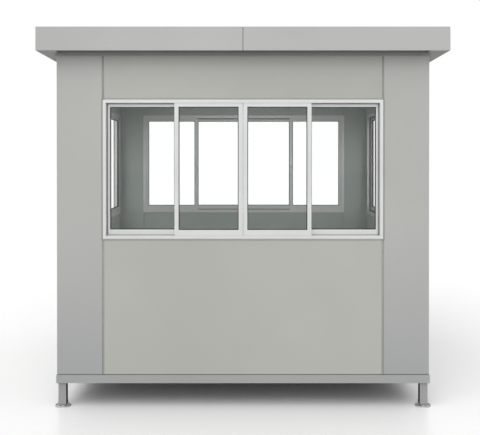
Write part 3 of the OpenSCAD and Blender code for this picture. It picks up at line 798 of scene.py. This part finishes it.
crossings = {}
for side, (left, right, bottom, top) in windows.items():
    quarter = (right - left) / 4 - SASH_SHORT - STILE / 2
    middle = (left + right) / 2
    crossings[side] = [middle] if side in ("left", "right") else [middle - quarter, middle + quarter]
    print(side, "window's stiles pass at", [round(x, 3) for x in crossings[side]])

# %% [markdown]
# ## Strips of pile
#
# The strip round a window is a ring and the strips in an interlock are bars. Both lie in the
# depth of the frame, so from outdoors they show only as a dark line beside a stile.

# %% Seal the sashes
RIB = 22 * MM
PILE_INSET = 16 * MM
PILE_BAND = 8 * MM
PILE_DEPTHS = (1.2 * MM, 8.4 * MM)
STRIP_SHIFT = 8 * MM
STRIP_HALF = 2 * MM
STRIP_DEPTH = 3.4 * MM

seal_shape = bmesh.new()
for side, (left, right, bottom, top) in windows.items():
    ring(seal_shape, left + PILE_INSET, right - PILE_INSET, bottom + PILE_INSET, top - PILE_INSET,
         PILE_BAND, *PILE_DEPTHS, 0.0, boards[side])
    for x in crossings[side]:
        for strip in (x - STRIP_SHIFT, x + STRIP_SHIFT):
            bar(seal_shape, (strip - STRIP_HALF, -STRIP_DEPTH, bottom + RIB),
                (strip + STRIP_HALF, STRIP_DEPTH, top - RIB), place=boards[side])
piece("pile_seals", seal_shape, brush_pile)

# %% [markdown]
# ## Crescent latches
#
# Each pair of passing stiles is locked by a crescent latch on the room side: a plate, a hub
# that turns and a short lever. The lever leans towards the middle of the window, as it does
# when the latch is shut. A cone with a slight taper makes the hub, and its two rims are
# bevelled, because a cast hub has no sharp edge.

# %% Latch the sashes
INNER_TRACK = 14.375 * MM
SASH_HALF = 11 * MM
LATCH_PLATE = (20 * MM, 64 * MM, 4 * MM)
HUB_RADII = (9 * MM, 8 * MM)
HUB_HEIGHT = 9 * MM
LEVER = (4 * MM, 2.5 * MM, 30 * MM)
LEVER_TURN = 0.35
LATCH_ROUND = 1.8 * MM
latch_face = INNER_TRACK + SASH_HALF


def rims(verts):
    """The edges of a cone's two flat ends."""
    edges = once(edge for vertex in verts for edge in vertex.link_edges)
    return [edge for edge in edges if abs(edge.verts[0].co.z - edge.verts[1].co.z) < 1e-6]


def latch(shape, x, height, lean, place):
    """A crescent latch at x and height on a board; lean is the lever's turn."""
    wide, tall, thick = LATCH_PLATE
    bar(shape, (x - wide / 2, latch_face - 0.5 * MM, height - tall / 2),
        (x + wide / 2, latch_face + thick, height + tall / 2), LATCH_ROUND, place)
    known = set(shape.verts)
    hub = bmesh.ops.create_cone(shape, cap_ends=True, segments=20, radius1=HUB_RADII[0],
                                radius2=HUB_RADII[1], depth=HUB_HEIGHT)
    bmesh.ops.bevel(shape, geom=rims(hub["verts"]), offset=1.2 * MM, affect="EDGES", segments=2,
                    profile=0.5, material=-1)
    put(shape, known, place @ Matrix.Translation((x, latch_face + 8 * MM, height))
        @ Matrix.Rotation(-math.pi / 2, 4, "X"))
    turn = Matrix.Translation((x, latch_face + 9 * MM, height)) @ Matrix.Rotation(lean, 4, "Y")
    bar(shape, (-LEVER[0], -LEVER[1], 0.0), LEVER, LATCH_ROUND, place @ turn)


latch_shape = bmesh.new()
for side, (left, right, bottom, top) in windows.items():
    for x in crossings[side]:
        lean = LEVER_TURN if x <= (left + right) / 2 else -LEVER_TURN
        latch(latch_shape, x, (bottom + top) / 2, lean, boards[side])
piece("sash_latches", latch_shape, door_metal)

# %% [markdown]
# ## Door seal
#
# The door closes on a rubber seal that shows as a black line round the leaf. It fills the gap
# between leaf and frame on the room side, so one ring just outside the leaf does it.

# %% Seal the door
DOOR_GAP = 4 * MM
SEAL_DEPTH = 7 * MM
leaf_low, leaf_high = on_board("right", "door_leaf")
seal_shape = bmesh.new()
ring(seal_shape, leaf_low.x - DOOR_GAP, leaf_high.x + DOOR_GAP, leaf_low.z - DOOR_GAP,
     leaf_high.z + DOOR_GAP, DOOR_GAP - 0.5 * MM, leaf_high.y - SEAL_DEPTH, leaf_high.y, 0.0,
     boards["right"])
piece("door_seal", seal_shape, gasket_rubber)

# %% [markdown]
# ## Door screws
#
# The hinges and handle plates are fixed with socket screws, a few millimetres across. A door
# without them looks like a drawing of a door. Each head grows from a circle: extrude gives it
# its height, bevel its round shoulder, and an inset pushed back in is its socket. A thread
# would be hidden in the metal, so there is none.

# %% Screw helper
SCREW_STAND = 1.2 * MM


def screw(shape, centre, radius, place=Matrix()):
    """A socket screw head that faces outdoors on its board."""
    known = set(shape.verts)
    bmesh.ops.create_circle(shape, cap_ends=True, radius=radius, segments=14)
    face = [f for f in shape.faces if not any(v in known for v in f.verts)][0]
    grown = bmesh.ops.extrude_face_region(shape, geom=[face], use_keep_orig=True)["geom"]
    top = [item for item in grown if isinstance(item, bmesh.types.BMFace)][0]
    bmesh.ops.translate(shape, vec=(0.0, 0.0, SCREW_STAND), verts=top.verts)
    bmesh.ops.bevel(shape, geom=list(top.edges), offset=SCREW_STAND * 0.6, affect="EDGES",
                    segments=2, profile=0.5, material=-1)
    flats = [f for f in shape.faces if not any(v in known for v in f.verts)]
    top = max(flats, key=lambda f: (round(f.calc_center_median().z, 7), f.calc_area()))
    bmesh.ops.inset_region(shape, faces=[top], thickness=radius * 0.5)
    bmesh.ops.translate(shape, vec=(0.0, 0.0, -SCREW_STAND), verts=top.verts)
    put(shape, known, place @ Matrix.Translation(centre) @ Matrix.Rotation(math.pi / 2, 4, "X"))


trial = bmesh.new()
screw(trial, (0.0, 0.0, 0.0), 4 * MM)
print("A screw head has", len(trial.faces), "faces")
trial.free()

# %% [markdown]
# ## Screws on the hinges
#
# Each of the three hinges has one leaf on the door and one on its frame, with a screw near
# either end. Their places come from the box of the hinge node: the lowest hinge, the highest
# and the one midway.

# %% Screw on the hinges
HINGE_HEIGHT = 100 * MM
HINGE_PLATE = 3 * MM
HINGE_SCREW = 4 * MM
HINGE_SCREW_SIDE = 22 * MM
HINGE_SCREW_END = 18 * MM
hinge_low, hinge_high = on_board("right", "door_hinges")
hinge_line = leaf_low.x - DOOR_GAP / 2
hinge_top = hinge_high.z - HINGE_HEIGHT
screw_shape = bmesh.new()
for foot in (hinge_low.z, (hinge_low.z + hinge_top) / 2, hinge_top):
    for rise in (HINGE_SCREW_END, HINGE_HEIGHT - HINGE_SCREW_END):
        for side, face in ((HINGE_SCREW_SIDE, leaf_low.y), (-HINGE_SCREW_SIDE, door_low.y)):
            screw(screw_shape, (hinge_line + side, face - HINGE_PLATE, foot + rise), HINGE_SCREW,
                  boards["right"])
print("Hinges at heights", round(hinge_low.z, 3), "to", round(hinge_high.z, 3))

# %% [markdown]
# ## Screws on the handle plates
#
# The handle has a long plate on both sides of the door. The room side isn't drawn again: its
# board is the wall's board turned half round, so that the same line of code serves both.

# %% Screw on the handle plates
HANDLE_PLATE = 8 * MM
HANDLE_WIDTH = 38 * MM
HANDLE_SCREW = 3.5 * MM
HANDLE_SCREW_END = 13 * MM
handle_low, handle_high = on_board("right", "door_handle")
handle_x = handle_high.x - HANDLE_WIDTH / 2
room_side = boards["right"] @ Matrix.Rotation(math.pi, 4, "Z")
for height in (handle_low.z + HANDLE_SCREW_END, handle_high.z - HANDLE_SCREW_END):
    screw(screw_shape, (handle_x, leaf_low.y - HANDLE_PLATE, height), HANDLE_SCREW, boards["right"])
    screw(screw_shape, (-handle_x, -leaf_high.y - HANDLE_PLATE, height), HANDLE_SCREW, room_side)
piece("door_screws", screw_shape, door_metal)

# %% [markdown]
# ## Keyholes
#
# The lock's cylinder has a keyhole on each side. It could be cut into the cylinder, but the
# node's mesh stays as it is, and at this size a hole is no more than a black slot: a thin
# dark bar that stands a third of a millimetre proud is painted shade that reads as the hole.

# %% Mark the keyholes
LOCK_DROP = 145 * MM
LOCK_STAND = 12 * MM
KEYHOLE_HALF = 1.2 * MM
lock_z = handle_high.z - LOCK_DROP
key_shape = bmesh.new()
# The black bar is painted shade: the dark inside of the keyhole.
for face, place, x in ((leaf_low.y, boards["right"], handle_x), (-leaf_high.y, room_side, -handle_x)):
    bar(key_shape, (x - KEYHOLE_HALF, face - LOCK_STAND - 0.3 * MM, lock_z - 5 * MM),
        (x + KEYHOLE_HALF, face - LOCK_STAND + 2 * MM, lock_z + 3 * MM), 0.2 * MM, place)
piece("keyholes", key_shape, gasket_rubber)

# %% [markdown]
# ## Rivets on the roof
#
# The fascia's lip and the strip over the roof's middle joint are riveted down. A rivet head
# is a small dome: a sphere, flattened and cut in half by a bisecting plane. The roof has a
# board of its own, tilted by its fall. Along the front edge, the booth's highest line, the
# heads are nearly flat, so that nothing stands above the packed model.

# %% Rivet the roof
LIP = 40 * MM
CAP_HALF = 30 * MM
RIVET_RADIUS = 6 * MM
RIVET_RISE = 2.7 * MM
FRONT_RISE = 0.3 * MM
RIVET_PITCH = 290 * MM
RIVET_COUNT = 9
roof_reach = high_corner("fascia_right").x
lip_middle = roof_reach - LIP / 2
roof_top = (high_corner("fascia_front_left").z + high_corner("fascia_back").z - ROOF_FALL * LIP) / 2
roof_board = (Matrix.Translation((0.0, 0.0, roof_top))
              @ Matrix.Rotation(-math.atan(ROOF_FALL), 4, "X"))


def rivet(shape, x, y, rise=RIVET_RISE):
    """A domed rivet head on the roof; rise is how far it stands out."""
    known = set(shape.verts)
    dome = bmesh.ops.create_uvsphere(shape, u_segments=12, v_segments=6, radius=RIVET_RADIUS)["verts"]
    bmesh.ops.scale(shape, vec=(1.0, 1.0, rise / RIVET_RADIUS), verts=dome)
    cut = [e for v in dome for e in v.link_edges] + [f for v in dome for f in v.link_faces] + dome
    bmesh.ops.bisect_plane(shape, geom=once(cut), plane_co=(0.0, 0.0, 0.0),
                           plane_no=(0.0, 0.0, 1.0), clear_inner=True)
    put(shape, known, roof_board @ Matrix.Translation((x, y, 0.0)))


rivet_shape = bmesh.new()
for number in range(RIVET_COUNT):
    along = (number - (RIVET_COUNT - 1) / 2) * RIVET_PITCH
    rivet(rivet_shape, along, -lip_middle, FRONT_RISE)
    rivet(rivet_shape, along, lip_middle)
    for edge in (-lip_middle, lip_middle, -CAP_HALF * 0.7, CAP_HALF * 0.7):
        rivet(rivet_shape, edge, along)
piece("roof_rivets", rivet_shape, door_metal)

# %% [markdown]
# ## Sealant on the roof
#
# Water stands longest on a roof, so the inner edge of the lip and both edges of the middle
# strip are sealed with a broad bead. It is the frame sealant again, as a ring and two bars
# that are drawn on the roof's board.

# %% Seal the roof
SHEET = 3 * MM
ROOF_BEAD = 8 * MM
ROOF_BEAD_STAND = 0.5 * MM
inner = roof_reach - LIP
roof_bead_shape = bmesh.new()
ring(roof_bead_shape, -inner - MM, inner + MM, -inner - MM, inner + MM, ROOF_BEAD + MM, -SHEET,
     ROOF_BEAD_STAND, 1.5 * MM, roof_board @ Matrix.Rotation(math.pi / 2, 4, "X"))
for edge in (-CAP_HALF, CAP_HALF):
    bar(roof_bead_shape, (edge - ROOF_BEAD / 2, -inner + ROOF_BEAD, -SHEET),
        (edge + ROOF_BEAD / 2, inner - ROOF_BEAD, ROOF_BEAD_STAND), 1.2 * MM, roof_board)
piece("roof_beads", roof_bead_shape, frame_grey)

# %% [markdown]
# ## Weld beads and sleeves on the legs
#
# Each leg is welded to the underside of the base frame, which leaves a bead round its top. At
# its foot a square sleeve covers the nut of the levelling screw. Both are rings that lie
# level, so they are drawn on a board that is tipped over, once for each of the four legs.

# %% Finish the legs
WELD_LEG = 5 * MM
SLEEVE_FOOT = 15 * MM
SLEEVE_HEAD = 32 * MM
SLEEVE_WALL = 1.5 * MM
base_under = low_corner("base_channels_front_back").z
leg_line = high_corner("legs").x - LEG_WIDTH / 2
weld_reach = LEG_WIDTH / 2 + WELD_LEG
sleeve_reach = LEG_WIDTH / 2 + SLEEVE_WALL
weld_shape = bmesh.new()
sleeve_shape = bmesh.new()
for x in (-leg_line, leg_line):
    for y in (-leg_line, leg_line):
        level = Matrix.Translation((x, y, 0.0)) @ Matrix.Rotation(math.pi / 2, 4, "X")
        ring(weld_shape, -weld_reach, weld_reach, -weld_reach, weld_reach, WELD_LEG + MM,
             base_under, base_under - WELD_LEG, 2.5 * MM, level)
        ring(sleeve_shape, -sleeve_reach, sleeve_reach, -sleeve_reach, sleeve_reach,
             SLEEVE_WALL + 2 * MM, SLEEVE_HEAD, SLEEVE_FOOT, 0.8 * MM, level)
piece("weld_beads", weld_shape, base_paint)
piece("leg_sleeves", sleeve_shape, leg_paint_and_shade)

# %% [markdown]
# ## Studio floor
#
# The booth is shown on a plain pale floor that fades into a white background. The floor has
# to look white and yet not throw white light up at the booth, which would wash out the shade
# beneath it. So it has two tones: a white one for rays that show something, and a grey one
# for rays that only carry light. The Light Path node tells these rays apart.

# %% Build the floor
FLOOR_REACH = 60.0


def shown(tree):
    """1 for rays that show something, 0 for those that only carry light."""
    rays = tree.nodes.new("ShaderNodeLightPath").outputs
    total = rays["Is Camera Ray"]
    for name in ("Is Glossy Ray", "Is Transmission Ray"):
        step = tree.nodes.new("ShaderNodeMath")
        step.operation = "MAXIMUM"
        tree.links.new(total, step.inputs[0])
        tree.links.new(rays[name], step.inputs[1])
        total = step.outputs[0]
    return total


floor_shape = bmesh.new()
bmesh.ops.create_grid(floor_shape, x_segments=1, y_segments=1, size=FLOOR_REACH)
floor_mesh = bpy.data.meshes.new("studio_floor")
floor_shape.to_mesh(floor_mesh)
floor_shape.free()
studio_floor = bpy.data.objects.new("studio_floor", floor_mesh)
scene.collection.objects.link(studio_floor)

floor_finish = Finish("studio_floor", roughness=0.3)
floor_colour = floor_finish.blend(shown(floor_finish.tree), tone(156, 156, 155), tone(255, 255, 255))
floor_mesh.materials.append(floor_finish.wear(floor_colour))
print("Floor reach in m:", FLOOR_REACH)

# %% [markdown]
# ## Softboxes
#
# Two softboxes give the light its direction: one high at the left, and one low in front that
# reaches the wall below the fascia. An area lamp would fall off across the booth and look
# different from each side, so each softbox is a sun of great width, which is just as soft and
# even everywhere. A sun's strength is set from the light that it should give on level ground.

# %% Hang the softboxes
# light on level ground, and height, turn to the left and width in degrees
SOFTBOXES = {"key_softbox": (0.225, 55, 30, 50), "front_softbox": (0.105, 20, 0, 60)}

for name, (share, height, side, spread) in SOFTBOXES.items():
    lamp = bpy.data.lights.new(name, "SUN")
    lamp.energy = share * math.pi / math.sin(math.radians(height))
    lamp.angle = math.radians(spread)
    softbox = bpy.data.objects.new(name, lamp)
    softbox.rotation_euler = (math.radians(90 - height), 0.0, -math.radians(side))
    scene.collection.objects.link(softbox)
    print(name, "gives", round(lamp.energy, 3), "W a square metre")

# %% [markdown]
# ## Room lamp
#
# The light from the windows alone would leave the ceiling and the back wall too dark, so a
# square panel lamp hangs just under the ceiling. It is big, so that its shadows are soft.

# %% Light the room
ROOM_LIGHT = 7.5
ROOM_LIGHT_SIZE = 1.4
CEILING_GAP = 60 * MM

room_lamp = bpy.data.lights.new("room_lamp", "AREA")
room_lamp.shape = "SQUARE"
room_lamp.size = ROOM_LIGHT_SIZE
room_lamp.energy = ROOM_LIGHT
room = bpy.data.objects.new("room_lamp", room_lamp)
room.location = (0.0, 0.0, low_corner("roof_panel_left").z - CEILING_GAP)
scene.collection.objects.link(room)
print("Room lamp in W:", ROOM_LIGHT)

# %% [markdown]
# ## White sky
#
# Most of the light is an even white sky. It fills every recess by as much of it as the recess
# sees, which draws the soft shade under the fascia and beneath the base frame: a few lamps
# could not do that. As with the floor, rays that show something find pure white there, and
# rays that only carry light find a dimmer one.

# %% Set the sky
SKY_LIGHT = 0.7
BACKGROUND = 1.0

world = bpy.data.worlds.new("studio")
world.use_nodes = True
scene.world = world
sky = world.node_tree.nodes["Background"]
sky.inputs["Color"].default_value = (1.0, 1.0, 1.0, 1.0)
level = world.node_tree.nodes.new("ShaderNodeMapRange")
level.inputs["To Min"].default_value = SKY_LIGHT
level.inputs["To Max"].default_value = BACKGROUND
world.node_tree.links.new(shown(world.node_tree), level.inputs["Value"])
world.node_tree.links.new(level.outputs["Result"], sky.inputs["Strength"])
scene.view_settings.view_transform = "Standard"
print("Sky light:", SKY_LIGHT)

# %% [markdown]
